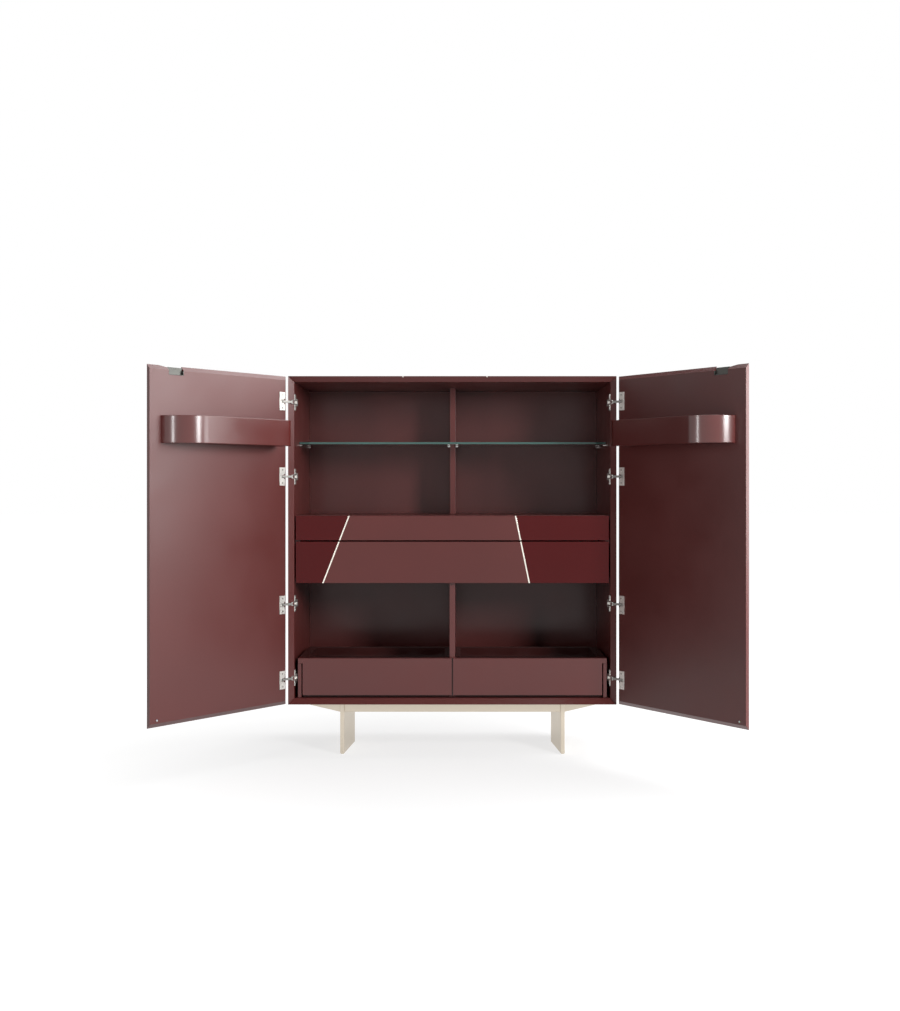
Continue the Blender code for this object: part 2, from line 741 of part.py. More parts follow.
def link_seat(side):
    """Where the link's far end lies in the open door's cup."""
    depth = CUP_SKIN + SEAT_GAP + CUP_FLOOR + SEAT_GAP + LINK_THICKNESS / 2
    return swung_open(side, (from_hinge_edge(side, LINK_SEAT_FROM_EDGE), depth, 0.0))


def link_pin(side):
    return Vector((from_side_face(side, PIN_INSET), PIN_DEPTH, 0.0))


def link_mesh():
    """A link along +X from its knuckle, which is at the origin and turns on the pin."""
    length = min((link_seat(side) - link_pin(side)).length for side in (LEFT, RIGHT))
    half = LINK_THICKNESS / 2
    rim = math.degrees(math.asin(half / KNUCKLE_RADIUS))
    plan = arc((0.0, 0.0), KNUCKLE_RADIUS, rim, 360 - rim, KNUCKLE_STEPS)
    plan += arc((length, 0.0), half, -90, 90, CORNER_STEPS)
    bore = arc((0.0, 0.0), PIN_RADIUS + PIN_CLEARANCE, 0, 360 - 360 / PIN_SEGMENTS, PIN_SEGMENTS - 1)
    return outline([plan, bore], -LINK_HALF_HEIGHT, LINK_HALF_HEIGHT)


def hinge_cup_mesh(side):
    """The cup in its pocket and the padded flange on the door's inner face, at height 0.

    A channel lets the link in, and a wider notch clears the nose of the arm when the door is closed.
    """
    start, end = CUP_START, CUP_START + CUP_LENGTH
    back = CUP_SKIN + SEAT_GAP
    seat = DOOR_THICKNESS + SEAT_GAP
    body = box(
        (from_hinge_edge(side, start), back, -CUP_HALF_HEIGHT),
        (from_hinge_edge(side, end), seat + FLANGE_THICKNESS / 2, CUP_HALF_HEIGHT),
    )
    flange = box(
        (from_hinge_edge(side, start), seat, -FLANGE_HEIGHT / 2),
        (from_hinge_edge(side, start + FLANGE_WIDTH), seat + FLANGE_THICKNESS, FLANGE_HEIGHT / 2),
    )
    channel = box(
        (from_hinge_edge(side, 0.0), back + CUP_FLOOR, -CHANNEL_HALF_HEIGHT),
        (from_hinge_edge(side, end - CUP_END_WALL), 2 * DOOR_THICKNESS, CHANNEL_HALF_HEIGHT),
    )
    pads = []
    for sign in (-1, 1):
        pads.append(
            box(
                (from_hinge_edge(side, start), seat + FLANGE_THICKNESS / 2, sign * FLANGE_HEIGHT / 2),
                (
                    from_hinge_edge(side, start + FLANGE_WIDTH),
                    seat + FLANGE_THICKNESS + FLANGE_PAD_RISE,
                    sign * (FLANGE_HEIGHT / 2 - FLANGE_PAD_HEIGHT),
                ),
            )
        )
    notch_half = nose_half_height(seat + FLANGE_THICKNESS) + NOSE_CLEARANCE
    notch = box(
        (from_hinge_edge(side, 0.0), DOOR_THICKNESS - NOSE_NOTCH_DEPTH, -notch_half),
        (from_hinge_edge(side, start + NOSE_NOTCH_LENGTH), 2 * DOOR_THICKNESS, notch_half),
    )
    return cut(join(body, flange, *pads), channel, notch)


def add_hinges(side):
    plate, link, cup = hinge_plate_mesh(side), link_mesh(), hinge_cup_mesh(side)
    reach = link_seat(side) - link_pin(side)
    for number, height in enumerate(HINGE_LEVELS, start=1):
        name = SIDE_NAMES[side] + "_hinge_{}_" + str(number)
        add_part(name.format("plate"), plate, CHROME, CABINET).location.z = level(height)
        add_part(name.format("cup"), cup, CHROME, DOOR_SWINGS[side]).location.z = level(height)
        turning = add_part(name.format("link"), link, CHROME, CABINET, smooth=True)
        turning.location = link_pin(side) + Vector((0.0, 0.0, level(height)))
        turning.rotation_euler.z = math.atan2(reach.y, reach.x)


# Drawers


def open_box(low, high, wall, floor, ledge=None):
    """A box open at the top. A ledge is its height and width, on all four walls."""
    inside = [
        box(
            (low[0] + wall, low[1] + wall, low[2] + floor),
            (high[0] - wall, high[1] - wall, high[2] + floor),
        )
    ]
    if ledge:
        height, width = ledge
        inside[0] = box(
            (low[0] + wall, low[1] + wall, height),
            (high[0] - wall, high[1] - wall, high[2] + floor),
        )
        inside.append(
            box(
                (low[0] + wall + width, low[1] + wall + width, low[2] + floor),
                (high[0] - wall - width, high[1] - wall - width, height + floor),
            )
        )
    return cut(box(low, high), *inside)


def add_middle_drawer(name, foot, top, box_foot, box_top):
    carrier = new_carrier(name + "_slide", (0.0, FRONT_SETBACK, level(foot)), CABINET)
    front_half = INNER_HALF_WIDTH - FRONT_SIDE_GAP
    back = FRONT_SETBACK + FRONT_THICKNESS
    front = box((-front_half, FRONT_SETBACK, level(foot)), (front_half, back, level(top)))
    grooves = [inlay_groove(side, foot - DECK, top + DECK, FRONT_SETBACK) for side in (LEFT, RIGHT)]
    add_part(name + "_front", cut(front, *grooves), LACQUER, carrier)
    box_half = INNER_HALF_WIDTH - BOX_SIDE_GAP
    low = (-box_half, back + SEAT_GAP, level(box_foot))
    high = (box_half, BOX_BACK_DEPTH, level(box_top))
    add_part(name + "_box", open_box(low, high, BOX_WALL, BOX_FLOOR), DARK_INTERIOR, carrier)


def add_middle_drawers():
    upper_foot = RUNNER_TOP + RUNNING_GAP
    upper_top = UPPER_BAY_FLOOR - DECK - BOX_TOP_GAP
    add_middle_drawer("upper_drawer", UPPER_FRONT_FOOT, UPPER_FRONT_TOP, upper_foot, upper_top)
    lower_foot = LOWER_BAY_TOP + DECK + RUNNING_GAP
    lower_top = RUNNER_TOP - RUNNER_HEIGHT - BOX_TOP_GAP
    add_middle_drawer("lower_drawer", LOWER_FRONT_FOOT, LOWER_FRONT_TOP, lower_foot, lower_top)


def bottle_front_mesh(side):
    near = BOTTLE_FRONT_GAP / 2
    far = INNER_HALF_WIDTH - BOTTLE_SIDE_INSET
    loop = [
        (side * near, level(BOTTLE_FRONT_FOOT)),
        (side * far, level(BOTTLE_FRONT_FOOT)),
        (side * far, level(EAR_UNDERSIDE)),
        (side * (far + BOTTLE_EAR_REACH), level(EAR_UNDERSIDE)),
        (side * (far + BOTTLE_EAR_REACH), level(BOTTLE_FRONT_TOP)),
        (side * near, level(BOTTLE_FRONT_TOP)),
    ]
    back = BOTTLE_FRONT_SETBACK + BOTTLE_FRONT_THICKNESS
    return outline([loop], BOTTLE_FRONT_SETBACK, back, upright=True)


def bottle_box_span(side):
    near = side * (DIVIDER / 2 + BOTTLE_DIVIDER_GAP)
    far = side * (INNER_HALF_WIDTH - BOTTLE_SIDE_INSET)
    front = BOTTLE_FRONT_SETBACK + BOTTLE_FRONT_THICKNESS + SEAT_GAP
    left, right = sorted((near, far))
    return (left, front, level(PANEL + RUNNING_GAP)), (right, BOTTLE_BOX_BACK, level(BOTTLE_FRONT_TOP))


def bottle_box_mesh(side):
    """A deep tray whose outer wall has a lip at the top, which runs on the rail beside it."""
    low, high = bottle_box_span(side)
    ledge_top = level(TRAY_TOP - TRAY_THICKNESS - SEAT_GAP)
    tub = open_box(low, high, BOTTLE_WALL, BOTTLE_BOX_FLOOR, (ledge_top, TRAY_LEDGE))
    wall = INNER_HALF_WIDTH - BOTTLE_SIDE_INSET
    lip = box(
        (side * (wall - BOTTLE_WALL / 2), low[1], level(EAR_UNDERSIDE)),
        (side * (wall + BOTTLE_EAR_REACH), high[1], high[2]),
    )
    return join(tub, lip)


def tray_mesh(side):
    """A board with bottle holes, as many as the drawer has room for."""
    low, high = bottle_box_span(side)
    inset = BOTTLE_WALL + SEAT_GAP
    left, right = low[0] + inset, high[0] - inset
    front, back = low[1] + inset, high[1] - inset
    top, foot = level(TRAY_TOP), level(TRAY_TOP - TRAY_THICKNESS)
    rim = [(left, front), (right, front), (right, back), (left, back)]
    room = BOTTLE_HOLE_DIAMETER + 2 * (BOTTLE_HOLE_EDGE + TRAY_LEDGE)
    across = int((right - left - room) / BOTTLE_PITCH) + 1
    along = int((back - front - room) / BOTTLE_PITCH) + 1
    holes = []
    for column in range(across):
        for row in range(along):
            x = (left + right) / 2 + (column - (across - 1) / 2) * BOTTLE_PITCH
            y = (front + back) / 2 + (row - (along - 1) / 2) * BOTTLE_PITCH
            last = 360 - 360 / HOLE_SEGMENTS
            holes.append(arc((x, y), BOTTLE_HOLE_DIAMETER / 2, 0, last, HOLE_SEGMENTS - 1))
    return outline([rim, *holes], foot, top)


def add_bottle_drawer(side):
    name = SIDE_NAMES[side] + "_bottle_"
    carrier = new_carrier(name + "slide", (0.0, BOTTLE_FRONT_SETBACK, level(BOTTLE_FRONT_FOOT)), CABINET)
    add_part(name + "drawer_front", bottle_front_mesh(side), LACQUER, carrier)
    add_part(name + "drawer_box", bottle_box_mesh(side), DARK_INTERIOR, carrier)
    add_part(name + "tray", tray_mesh(side), GLOSS_LACQUER, carrier)
    wall = INNER_HALF_WIDTH - BOTTLE_SIDE_INSET + RAIL_GAP
    rail = box(
        (side * wall, RAIL_SETBACK, level(PANEL + SEAT_GAP)),
        (side * (wall + RAIL_THICKNESS), BOTTLE_BOX_BACK, level(EAR_UNDERSIDE - RUNNING_GAP)),
    )
    add_part(SIDE_NAMES[side] + "_drawer_rail", rail, LACQUER, CABINET)


def build():
    add_flat_panels()
    add_back_panel()
    add_base()
    add_dividers()
    add_decks()
    add_glass_shelf()
    add_shelf_pins()
    add_middle_drawers()
    for side in (LEFT, RIGHT):
        add_side_panel(side)
        add_door(side)
        add_finger_pull(side)
        add_bin(side)
        add_hinges(side)
        add_bottle_drawer(side)


build()
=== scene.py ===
"""Looks of the wine cabinet: rounded lacquer, inlay, hinges, glass and metal, in studio light.

Metres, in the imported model's frame: +X right, +Y back and +Z up, with the floor at 0. Pieces on a door are
modelled on the closed door and then swung open with it.
"""

import json
import math

import bmesh
import bpy
from mathutils import Matrix, Vector

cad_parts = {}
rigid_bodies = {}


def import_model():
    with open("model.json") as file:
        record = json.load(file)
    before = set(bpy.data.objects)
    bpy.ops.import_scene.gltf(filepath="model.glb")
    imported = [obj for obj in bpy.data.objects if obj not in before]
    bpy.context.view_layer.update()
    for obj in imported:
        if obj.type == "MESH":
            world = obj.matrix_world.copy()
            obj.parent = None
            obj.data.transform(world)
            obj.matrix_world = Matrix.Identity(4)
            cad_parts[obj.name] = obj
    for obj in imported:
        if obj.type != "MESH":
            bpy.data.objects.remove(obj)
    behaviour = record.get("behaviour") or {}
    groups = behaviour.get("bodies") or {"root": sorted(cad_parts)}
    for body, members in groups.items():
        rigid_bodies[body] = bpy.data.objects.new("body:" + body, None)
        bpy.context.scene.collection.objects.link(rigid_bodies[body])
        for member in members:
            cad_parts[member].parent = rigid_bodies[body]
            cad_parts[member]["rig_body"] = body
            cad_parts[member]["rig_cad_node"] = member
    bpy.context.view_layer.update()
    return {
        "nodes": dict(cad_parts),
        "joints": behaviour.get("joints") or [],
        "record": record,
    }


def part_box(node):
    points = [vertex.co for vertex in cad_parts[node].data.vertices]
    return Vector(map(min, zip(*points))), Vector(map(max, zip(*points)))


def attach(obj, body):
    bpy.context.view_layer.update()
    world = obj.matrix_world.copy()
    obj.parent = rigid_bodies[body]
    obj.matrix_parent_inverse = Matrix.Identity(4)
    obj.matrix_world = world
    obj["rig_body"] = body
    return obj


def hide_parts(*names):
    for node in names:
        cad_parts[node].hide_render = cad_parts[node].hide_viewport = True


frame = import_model()
NODES = frame["nodes"]
JOINTS = {joint["name"]: joint for joint in frame["joints"]}
BODIES = frame["record"]["behaviour"]["bodies"]
BODY_OF = {node: body for body, members in BODIES.items() for node in members}
SIDES = {"left": -1, "right": 1}
HINGE_NUMBERS = (1, 2, 3, 4)
SHELF_PINS = ("left_front", "left_rear", "right_front", "right_rear", "divider_left", "divider_right")

# Photograph's frame and camera
PHOTO_LONG_SIDE = 1011
FOCAL_PIXELS = 1204.5
SENSOR = 36.0
CAMERA_PLACE = (0.048, -4.409, 0.993)
PRINCIPAL_RIGHT = 11.8
PRINCIPAL_UP = 18.0

# Cabinet's middle, underside and front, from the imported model
TOP_LOW, TOP_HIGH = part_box("top_panel")
MIDDLE = (TOP_LOW.x + TOP_HIGH.x) / 2
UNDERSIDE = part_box("bottom_panel")[0].z
FRONT_PLANE = TOP_LOW.y
HALF_WIDTH = TOP_HIGH.x - MIDDLE

# Slanted inlay lines: how far each is from the middle at INLAY_LEVEL over the underside, and its slope
INLAY_LEVEL = 0.689
INLAY_LINES = {"left": (-0.379, 0.3887), "right": (0.232, -0.2053)}
INLAY_WIDTH = 0.005
INLAY_DEPTH = 0.0008
TOP_INLAY_DEPTH = 0.004
GROOVE_MARGIN = 0.01
STRIP_PROUD = 0.00012
STRIP_GAP = 0.00005
DRAWER_STRIP_END = 0.0002
DOOR_STRIP_END = 0.001
TOP_STRIP_END = 0.0005

# Doors with their pulls, bins and bumpers
DOOR_REVEAL = 0.0015
PULL_DIP = 0.006
PULL_CREST_RISE = 0.0018
PULL_LENGTH = 0.059
PULL_HEIGHT = 0.0155
PULL_SHEET = 0.002
PULL_GAP = 0.0003
PULL_ROOM = 0.001
BIN_CORNER = 0.028
BIN_CORNER_STEPS = 14
BIN_ARC = 0.120
BIN_ARC_STEPS = 48
BIN_SPARE = 0.002
BIN_TRIM = 0.009
BIN_WALL = 0.012
BIN_BACK = 0.008
BIN_FLOOR = 0.010
BUMPER_RADIUS = 0.0033
BUMPER_HEIGHT = 0.0018
BUMPER_SEGMENTS = 28
BUMPER_FROM_FREE_EDGE = 0.028
BUMPER_FROM_FOOT = 0.025

# Hinge screws: the head with its cross of length, width and depth, and its places on flange and wing plate
SCREW_RADIUS = 0.0033
SCREW_HEIGHT = 0.0012
SCREW_SEGMENTS = 24
SCREW_CROSS = (0.0040, 0.0009, 0.0008)
FLANGE_SCREW_ALONG = 0.03025
FLANGE_SCREW_LIFT = 0.0235
FLANGE_FACE = 0.0178
WING_FACE = 0.0223
WING_SCREW_DEPTH = 0.038
WING_SCREW_LIFT = 0.022

# Radius of the rounded edges of each kind of piece, and the steps of a rounding
PANEL_ROUND = 0.0007
DIVIDER_ROUND = 0.0010
DECK_ROUND = 0.0008
BACK_ROUND = 0.0005
BASE_ROUND = 0.0016
FRONT_ROUND = 0.0012
BOX_ROUND = 0.0010
BOTTLE_BOX_ROUND = 0.0012
TRAY_ROUND = 0.0020
STRIP_ROUND = 0.00025
DOOR_ROUND = 0.0006
PULL_ROUND = 0.0004
BIN_ROUND = 0.0016
BUMPER_ROUND = 0.0011
SCREW_ROUND = 0.0006
HINGE_ROUND = 0.0004
GLASS_ROUND = 0.0006
PEG_ROUND = 0.0008
ROUND_STEPS = 2
FINE_STEPS = 3
BUMPER_STEPS = 4

# What counts as near, level, facing a way, sharp, flat and smooth
NEAR = 0.0005
LEVEL = 0.0001
FACING_UP = 0.9
DRAWER_FIELD_FACING = -0.1
DOOR_FIELD_FACING = -0.5
DOOR_FIELD_DEPTH = 0.0004
SHARP_DEGREES = 25
FLAT_DEGREES = 0.5
SMOOTH_DEGREES = 40
SCREW_SMOOTH_DEGREES = 50
FLAT_FACE_WEIGHT = 100
NODE_MERGE = 0.00001
ROUNDING_MERGE = 0.00002


# Modelling helpers


def deselect():
    if bpy.context.object and bpy.context.object.mode != "OBJECT":
        bpy.ops.object.mode_set(mode="OBJECT")
    bpy.ops.object.select_all(action="DESELECT")


def pick(piece):
    deselect()
    piece.select_set(True)
    bpy.context.view_layer.objects.active = piece


def select_in_edit_mode(piece, kind, wanted):
    """Enters edit mode with only the verts, edges or faces selected for which wanted() holds."""
    pick(piece)
    bpy.ops.object.mode_set(mode="EDIT")
    bpy.ops.mesh.select_mode(type=kind.upper())
    bpy.ops.mesh.select_all(action="DESELECT")
    mesh = bmesh.from_edit_mesh(piece.data)
    elements = {"vert": mesh.verts, "edge": mesh.edges, "face": mesh.faces}[kind]
    for element in elements:
        if wanted(element):
            element.select_set(True)
    mesh.select_flush_mode()
    bmesh.update_edit_mesh(piece.data)


def leave_edit_mode():
    bpy.ops.object.mode_set(mode="OBJECT")


def move_points(piece, wanted, shift):
    """Moves the points for which wanted() holds."""
    select_in_edit_mode(piece, "vert", wanted)
    bpy.ops.transform.translate(value=shift)
    leave_edit_mode()


def settle(piece):
    """Puts the piece's place in its mesh."""
    pick(piece)
    bpy.ops.object.transform_apply(location=True, rotation=True, scale=True)


def apply_modifier(piece, kind, **settings):
    pick(piece)
    bpy.ops.object.modifier_add(type=kind)
    modifier = piece.modifiers[-1]
    for name, value in settings.items():
        setattr(modifier, name, value)
    bpy.ops.object.modifier_apply(modifier=modifier.name)


def smooth_over_flats(piece, angle=SMOOTH_DEGREES):
    """Smooth shading that stays flat on the large faces and sharp at the edges that weren't rounded."""
    pick(piece)
    bpy.ops.object.shade_smooth_by_angle(angle=math.radians(angle))
    apply_modifier(piece, "WEIGHTED_NORMAL", keep_sharp=True, weight=FLAT_FACE_WEIGHT)


def block(name, low, high):
    """A new cube between two corners, to be shaped further."""
    low, high = Vector(low), Vector(high)
    deselect()
    bpy.ops.mesh.primitive_cube_add(size=1.0, location=(low + high) / 2)
    piece = bpy.context.object
    piece.name = name
    piece.scale = high - low
    settle(piece)
    return piece


def rod(name, start, end, radius, segments):
    """A new cylinder between two points, to be shaped further."""
    start, end = Vector(start), Vector(end)
    turn = (end - start).to_track_quat("Z", "Y").to_euler()
    deselect()
    bpy.ops.mesh.primitive_cylinder_add(
        vertices=segments,
        radius=radius,
        depth=(end - start).length,
        location=(start + end) / 2,
        rotation=turn,
    )
    piece = bpy.context.object
    piece.name = name
    settle(piece)
    return piece


def sharp_outer_edge(edge):
    return edge.is_manifold and edge.is_convex and edge.calc_face_angle() > math.radians(SHARP_DEGREES)


def bevel_selected(radius, steps):
    bpy.ops.mesh.bevel(offset=radius, segments=steps, profile=0.5, affect="EDGES", clamp_overlap=True)


def round_edges(piece, radius, steps=ROUND_STEPS, wanted=sharp_outer_edge):
    select_in_edit_mode(piece, "edge", wanted)
    bevel_selected(radius, steps)
    bpy.ops.mesh.select_all(action="SELECT")
    bpy.ops.mesh.remove_doubles(threshold=ROUNDING_MERGE)
    leave_edit_mode()


def cut_out(piece, tool):
    """Takes a tool's shape out of a piece that has no finish yet."""
    apply_modifier(piece, "BOOLEAN", operation="DIFFERENCE", object=tool, solver="EXACT")
    bpy.data.objects.remove(tool, do_unlink=True)
    piece.data.materials.clear()


def copies(piece, moves):
    """Copies of a piece, each with its own mesh moved by a matrix."""
    made = []
    for move in moves:
        pick(piece)
        bpy.ops.object.duplicate()
        made.append(bpy.context.object)
        made[-1].data.transform(move)
    return made


def copy_of_node(node):
    """A merged copy of a CAD node without the node's marks, to be shaped further."""
    pick(NODES[node])
    bpy.ops.object.duplicate()
    piece = bpy.context.object
    piece.name = node + "_finished"
    piece.parent = None
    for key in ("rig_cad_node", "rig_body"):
        del piece[key]
    bpy.ops.mesh.customdata_custom_splitnormals_clear()
    bpy.ops.object.mode_set(mode="EDIT")
    bpy.ops.mesh.select_all(action="SELECT")
    bpy.ops.mesh.remove_doubles(threshold=NODE_MERGE)
    bpy.ops.mesh.dissolve_limited(angle_limit=math.radians(FLAT_DEGREES))
    leave_edit_mode()
    piece.data.materials.clear()
    return piece


def second_finish(piece, material, wanted):
    """Adds a finish to a piece that has its first one, on the faces for which wanted() holds."""
    piece.data.materials.append(material)
    for face in piece.data.polygons:
        face.material_index = int(wanted(face))


def finish_piece(piece, material, body):
    """Gives a piece its finish, unless it has one, and its body."""
    if not piece.data.materials:
        piece.data.materials.append(material)
    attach(piece, body)
    return piece


def stand_for_node(piece, material, node):
    """Finishes a piece that takes the place of a CAD node."""
    finish_piece(piece, material, BODY_OF[node])
    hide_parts(node)
    return piece


def rounded_node(node, material, radius, steps=ROUND_STEPS):
    """A copy of a CAD node with rounded edges and a finish, in the node's place."""
    piece = copy_of_node(node)
    round_edges(piece, radius, steps)
    smooth_over_flats(piece)
    return stand_for_node(piece, material, node)


# Material helpers: each noise has a scale and a detail


TONE_NOISE = (2.3, 3.0)
FINE_TONE_NOISE = (160.0, 2.0)
FINE_TONE_SHARE = 0.35
GLOSS_NOISE = (7.0, 4.0)
SPRAY_NOISE = (420.0, 1.5)
LINE_NOISE = (1.0, 3.0)
SLOW_NOISE = (11.0, 3.0)
SLOW_SHARE = 0.5
GRAIN_SHADE = 0.6
NOISE_RANGE = (0.3, 0.7)
RELIEF_DEPTH = 0.00005
GROUP_OUTPUTS = {"Colour": "NodeSocketColor", "Roughness": "NodeSocketFloat", "Height": "NodeSocketFloat"}


def new_node(tree, kind, **settings):
    node = tree.nodes.new(kind)
    for name, value in settings.items():
        setattr(node, name, value)
    return node


def noise(tree, vector, scale, detail):
    node = new_node(tree, "ShaderNodeTexNoise")
    node.inputs["Scale"].default_value = scale
    node.inputs["Detail"].default_value = detail
    tree.links.new(vector, node.inputs["Vector"])
    return node.outputs["Fac"]


def map_range(tree, value, start, end, interpolation="LINEAR"):
    """Maps a value from the range start to the range end."""
    node = new_node(tree, "ShaderNodeMapRange", interpolation_type=interpolation)
    node.inputs["From Min"].default_value, node.inputs["From Max"].default_value = start
    node.inputs["To Min"].default_value, node.inputs["To Max"].default_value = end
    tree.links.new(value, node.inputs["Value"])
    return node.outputs["Result"]


def spread(tree, value, reach=1.0):
    """Maps a noise's usual range to a change around zero."""
    return map_range(tree, value, NOISE_RANGE, (-reach, reach))


def arithmetic(tree, operation, first, second):
    node = new_node(tree, "ShaderNodeMath", operation=operation)
    for socket, value in zip(node.inputs, (first, second)):
        if isinstance(value, float):
            socket.default_value = value
        else:
            tree.links.new(value, socket)
    return node.outputs["Value"]


def new_group(name, inputs):
    """A shader group with named inputs, which puts out a colour, a roughness and a height."""
    group = bpy.data.node_groups.new(name, "ShaderNodeTree")
    for label, kind, value in inputs:
        socket = group.interface.new_socket(label, in_out="INPUT", socket_type=kind)
        socket.default_value = value
    for label, kind in GROUP_OUTPUTS.items():
        group.interface.new_socket(label, in_out="OUTPUT", socket_type=kind)
    entry = new_node(group, "NodeGroupInput")
    leaving = new_node(group, "NodeGroupOutput")
    return group, entry.outputs, leaving.inputs


def put_out_tone(group, entry, leaving, change):
    """Puts out the group's colour, lighter or darker by a change around zero."""
    tinted = new_node(group, "ShaderNodeHueSaturation")
    group.links.new(arithmetic(group, "ADD", change, 1.0), tinted.inputs["Value"])
    group.links.new(entry["Colour"], tinted.inputs["Color"])
    group.links.new(tinted.outputs["Color"], leaving["Colour"])


def put_out_gloss(group, entry, leaving, change):
    """Puts out the group's roughness, with a change around zero."""
    group.links.new(arithmetic(group, "ADD", change, entry["Roughness"]), leaving["Roughness"])


def sprayed_film():
    """Sprayed lacquer: slow drift of tone and gloss, and the fine waviness of a sprayed coat."""
    group, entry, leaving = new_group(
        "sprayed_film",
        [
            ("Colour", "NodeSocketColor", (0.1, 0.03, 0.03, 1.0)),
            ("Tone drift", "NodeSocketFloat", 0.06),
            ("Roughness", "NodeSocketFloat", 0.38),
            ("Gloss drift", "NodeSocketFloat", 0.04),
        ],
    )
    place = new_node(group, "ShaderNodeTexCoord").outputs["Object"]
    tone = spread(group, noise(group, place, *TONE_NOISE))
    fine_tone = spread(group, noise(group, place, *FINE_TONE_NOISE), FINE_TONE_SHARE)
    tone = arithmetic(group, "ADD", tone, fine_tone)
    put_out_tone(group, entry, leaving, arithmetic(group, "MULTIPLY", tone, entry["Tone drift"]))
    gloss = spread(group, noise(group, place, *GLOSS_NOISE))
    put_out_gloss(group, entry, leaving, arithmetic(group, "MULTIPLY", gloss, entry["Gloss drift"]))
    group.links.new(noise(group, place, *SPRAY_NOISE), leaving["Height"])
    return group


def brushed_grain():
    """Metal with fine lines along one way and a slow drift of gloss."""
    group, entry, leaving = new_group(
        "brushed_grain",
        [
            ("Colour", "NodeSocketColor", (0.6, 0.6, 0.6, 1.0)),
            ("Along", "NodeSocketVector", (1.0, 1.0, 1.0)),
            ("Roughness", "NodeSocketFloat", 0.3),
            ("Grain", "NodeSocketFloat", 0.08),
        ],
    )
    place = new_node(group, "ShaderNodeTexCoord").outputs["Object"]
    stretched = new_node(group, "ShaderNodeVectorMath", operation="MULTIPLY")
    group.links.new(place, stretched.inputs[0])
    group.links.new(entry["Along"], stretched.inputs[1])
    lines = noise(group, stretched.outputs["Vector"], *LINE_NOISE)
    slow = spread(group, noise(group, place, *SLOW_NOISE), SLOW_SHARE)
    grain = arithmetic(group, "ADD", spread(group, lines), slow)
    grain = arithmetic(group, "MULTIPLY", grain, entry["Grain"])
    put_out_gloss(group, entry, leaving, grain)
    put_out_tone(group, entry, leaving, arithmetic(group, "MULTIPLY", grain, GRAIN_SHADE))
    group.links.new(lines, leaving["Height"])
    return group


def new_finish(name, group, values, bump=0.0, **sockets):
    """A Principled finish with colour, roughness and relief from a group; sockets are set as they are."""
    material = bpy.data.materials.new(name)
    material.use_nodes = True
    tree = material.node_tree
    shader = tree.nodes["Principled BSDF"]
    effect = new_node(tree, "ShaderNodeGroup", node_tree=group)
    for label, value in values.items():
        effect.inputs[label].default_value = value
    tree.links.new(effect.outputs["Colour"], shader.inputs["Base Color"])
    tree.links.new(effect.outputs["Roughness"], shader.inputs["Roughness"])
    if bump:
        relief = new_node(tree, "ShaderNodeBump")
        relief.inputs["Strength"].default_value = bump
        relief.inputs["Distance"].default_value = RELIEF_DEPTH
        tree.links.new(effect.outputs["Height"], relief.inputs["Height"])
        tree.links.new(relief.outputs["Normal"], shader.inputs["Normal"])
    for label, value in sockets.items():
        shader.inputs[label.replace("_", " ")].default_value = value
    return material


# Finishes


SPRAYED_FILM = sprayed_film()
BRUSHED_GRAIN = brushed_grain()
WINE = (0.125, 0.025, 0.0225)
GLASS_TONE_DRIFT = 0.02
GLASS_GLOSS_SHARE = 0.25
GLASS_IOR = 1.5


def lacquer(name, colour, roughness, specular, bump=0.15):
    values = {"Colour": (*colour, 1.0), "Roughness": roughness}
    return new_finish(name, SPRAYED_FILM, values, bump, Specular_IOR_Level=specular)


def metal(name, colour, roughness, grain, along, bump=0.1):
    values = {"Colour": (*colour, 1.0), "Roughness": roughness, "Grain": grain, "Along": along}
    return new_finish(name, BRUSHED_GRAIN, values, bump, Metallic=1.0)


def silicone(name, colour, roughness):
    values = {"Colour": (*colour, 1.0), "Tone drift": 0.03, "Roughness": roughness, "Gloss drift": 0.05}
    return new_finish(name, SPRAYED_FILM, values, 0.1, Subsurface_Weight=0.2)


def glass(name, colour, roughness, transmission):
    values = {
        "Colour": (*colour, 1.0),
        "Tone drift": GLASS_TONE_DRIFT,
        "Roughness": roughness,
        "Gloss drift": roughness * GLASS_GLOSS_SHARE,
    }
    return new_finish(name, SPRAYED_FILM, values, Transmission_Weight=transmission, IOR=GLASS_IOR)


WINE_SATIN = lacquer("wine_satin", WINE, 0.33, 0.58)
WINE_FRONT = lacquer("wine_front", (0.120, 0.023, 0.0205), 0.33, 0.45)
WINE_DULL = lacquer("wine_dull", WINE, 0.62, 0.20)
WINE_BIN = lacquer("wine_bin", WINE, 0.20, 0.75, 0.05)
WINE_GLOSS = lacquer("wine_gloss", (0.105, 0.008, 0.009), 0.12, 0.16, 0.06)
# The bottle trays' lacquer is painted near black, as painted shade for the trays deep inside the drawers.
PAINTED_SHADE_TRAY_GLOSS = lacquer("tray_gloss_painted_shade", (0.030, 0.006, 0.006), 0.14, 0.40, 0.06)
# The interior lacquer is the wine lacquer painted darker and greyer, as painted shade inside the cabinet.
PAINTED_SHADE_INTERIOR_SATIN = lacquer("interior_satin_painted_shade", (0.104, 0.029, 0.027), 0.22, 0.30)
# The bottle drawers' boxes take the wine lacquer painted much darker, as painted shade inside the drawers.
PAINTED_SHADE_BOX_SATIN = lacquer("box_satin_painted_shade", (0.050, 0.013, 0.012), 0.22, 0.30)
CHAMPAGNE = metal("champagne_satin", (0.66, 0.588, 0.485), 0.40, 0.04, (60.0, 60.0, 900.0))
INLAY_METAL = metal("inlay_champagne", (0.92, 0.87, 0.78), 0.28, 0.05, (900.0, 900.0, 30.0))
NICKEL = metal("hinge_nickel", (0.70, 0.685, 0.65), 0.50, 0.05, (300.0, 300.0, 40.0))
